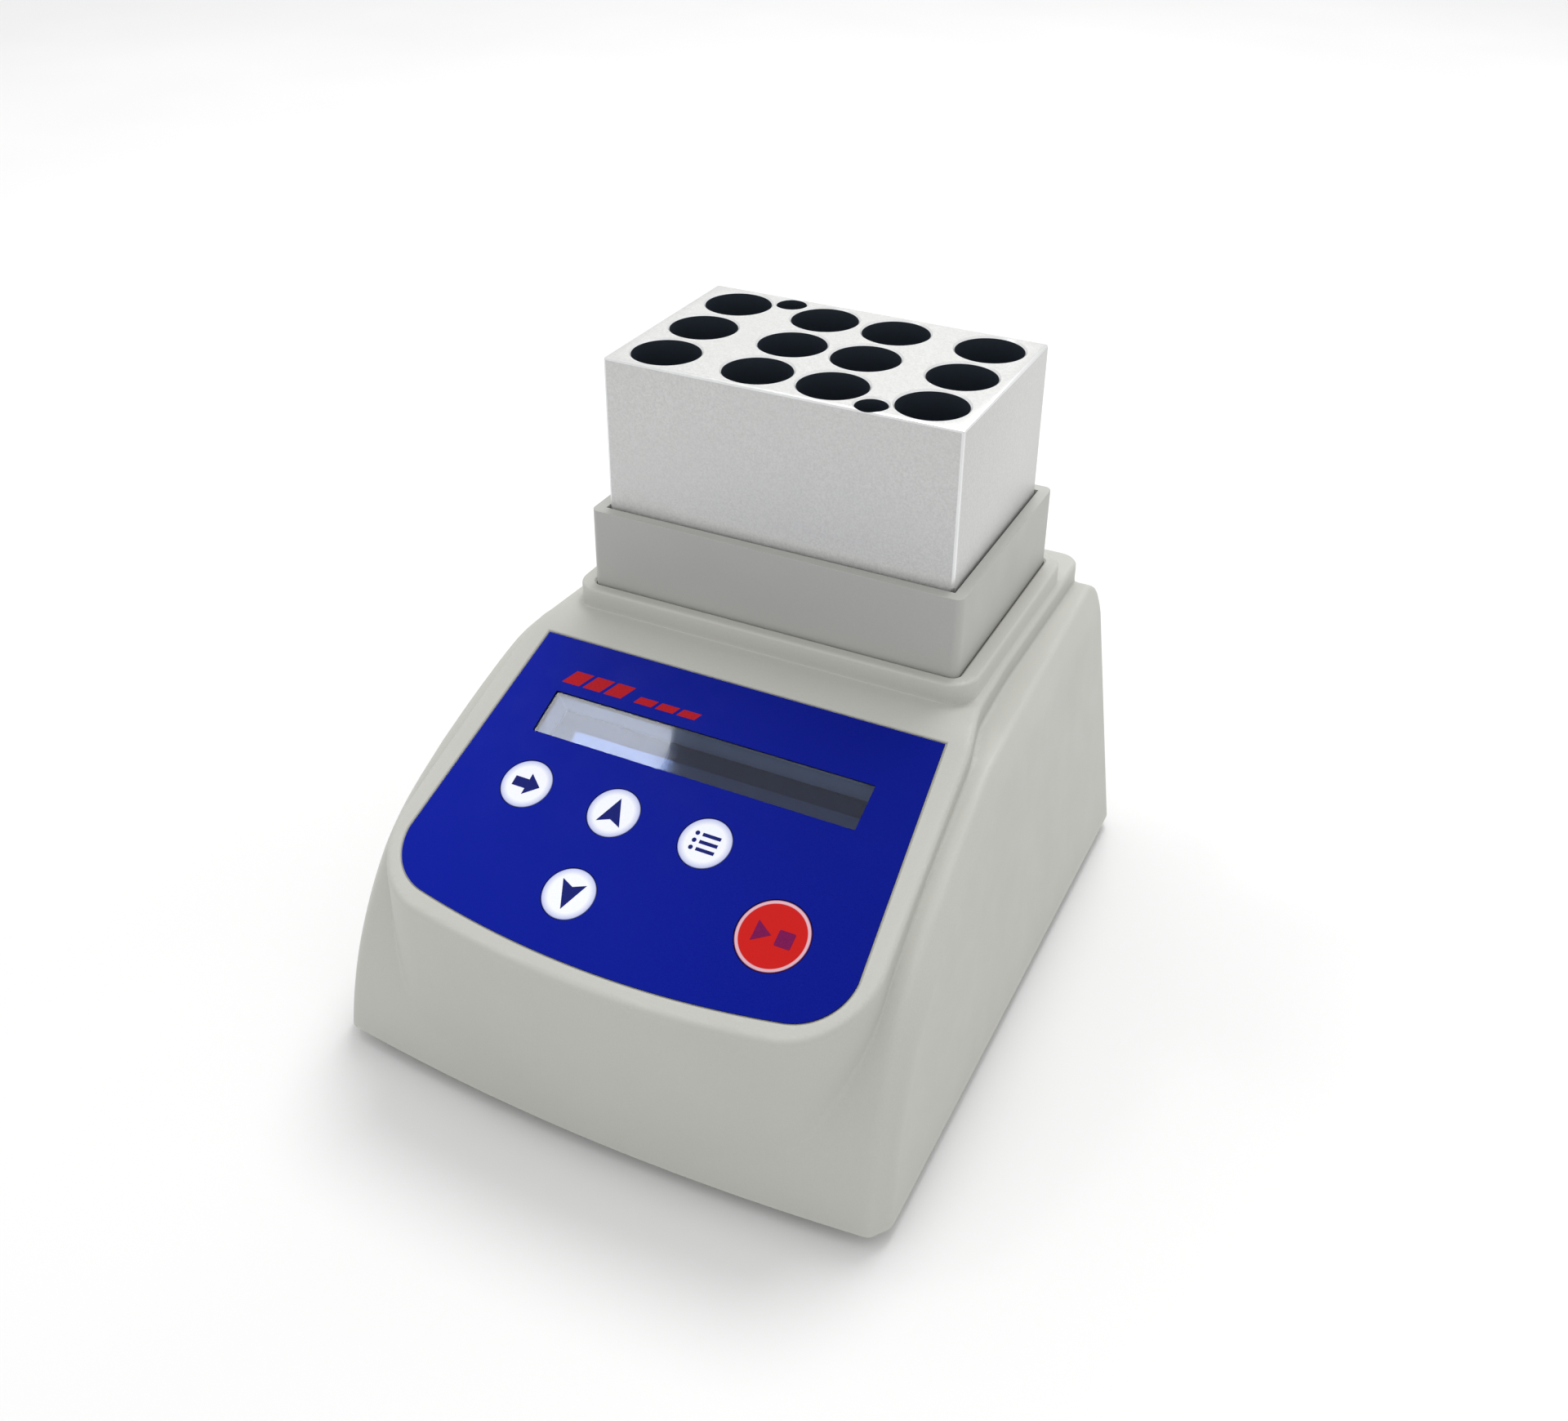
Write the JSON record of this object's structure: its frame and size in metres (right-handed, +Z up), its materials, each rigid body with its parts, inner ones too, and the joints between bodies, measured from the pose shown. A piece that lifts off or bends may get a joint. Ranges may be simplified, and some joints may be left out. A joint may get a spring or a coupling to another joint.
{
  "type": "dry block heater",
  "caption": "Bench-top dry block heater: sloped housing with key panel and display, and a lift-out aluminium block with rows of round tube wells.",
  "frame": {"origin": "middle of the footprint on the table", "axes": "+X to the user's right, +Y towards the back, +Z up"},
  "size_m": [0.11, 0.131, 0.1145],
  "materials": {
    "housing": "fine textured",
    "base": "fine textured",
    "rubber": "matt",
    "screw_steel": "plated",
    "collar": "satin",
    "block": "bead-blasted",
    "plate": "milled",
    "heating_film": "matt",
    "insulation": "fibrous",
    "sheet_metal": "galvanised",
    "brass": "turned",
    "film": "printed satin film",
    "clear": "clear",
    "display": "dark",
    "display_frame": "satin",
    "board": "solder mask",
    "black_plastic": "satin",
    "key_white": "printed satin film",
    "key_red": "printed satin film",
    "ribbon": "satin",
    "header": "satin",
    "capacitor": "sleeved",
    "dark_metal": "black anodised"
  },
  "bodies": {
    "root": {"upper_housing": "housing", "base_plate": "base", "rubber_feet": "rubber", "base_screws": "screw_steel", "collar": "collar", "collar_screws": "screw_steel", "heater_plate": "plate", "heating_film": "heating_film", "insulation_pad": "insulation", "insulation_sleeve": "insulation", "heater_carrier": "sheet_metal", "carrier_posts": "brass", "carrier_screws": "screw_steel", "temperature_probe": "plate", "thermal_cutout": "black_plastic", "panel_film": "film", "display_window": "clear", "display_bezel": "display_frame", "display_glass": "display", "control_board": "board", "control_board_screws": "screw_steel", "tact_switches": "black_plastic", "ribbon_cable": "ribbon", "ribbon_headers": "header", "main_board": "board", "main_board_screws": "screw_steel", "heat_sink": "dark_metal", "power_transistors": "black_plastic", "capacitors": "capacitor", "controller_chip": "black_plastic", "buzzer": "black_plastic", "power_socket": "black_plastic", "socket_nut": "plate", "switch_body": "black_plastic", "switch_terminals": "brass"},
    "block": {"heating_block": "block"},
    "next_key": {"key_next": "key_white"},
    "up_key": {"key_up": "key_white"},
    "program_key": {"key_program": "key_white"},
    "down_key": {"key_down": "key_white"},
    "start_key": {"key_start": "key_red"},
    "rocker": {"switch_rocker": "black_plastic"}
  },
  "joints": [
    {"name": "block_lift", "type": "slide", "parent": "root", "child": "block", "axis": [0, 0, 1], "range_m": [0, 0.03]},
    {"name": "next_press", "type": "slide", "parent": "root", "child": "next_key", "axis": [0, 0.3987, -0.9171], "range_m": [0, 0.0006], "stiffness_N_per_m": 900, "springref_m": -0.0003},
    {"name": "up_press", "type": "slide", "parent": "root", "child": "up_key", "axis": [0, 0.3987, -0.9171], "range_m": [0, 0.0006], "stiffness_N_per_m": 900, "springref_m": -0.0003},
    {"name": "program_press", "type": "slide", "parent": "root", "child": "program_key", "axis": [0, 0.3987, -0.9171], "range_m": [0, 0.0006], "stiffness_N_per_m": 900, "springref_m": -0.0003},
    {"name": "down_press", "type": "slide", "parent": "root", "child": "down_key", "axis": [0, 0.3987, -0.9171], "range_m": [0, 0.0006], "stiffness_N_per_m": 900, "springref_m": -0.0003},
    {"name": "start_press", "type": "slide", "parent": "root", "child": "start_key", "axis": [0, 0.3987, -0.9171], "range_m": [0, 0.0006], "stiffness_N_per_m": 900, "springref_m": -0.0003},
    {"name": "power_rock", "type": "hinge", "parent": "root", "child": "rocker", "pos_m": [0.017, 0.0595, 0.02], "axis": [1, 0, 0], "range_deg": [0, 16]}
  ]
}
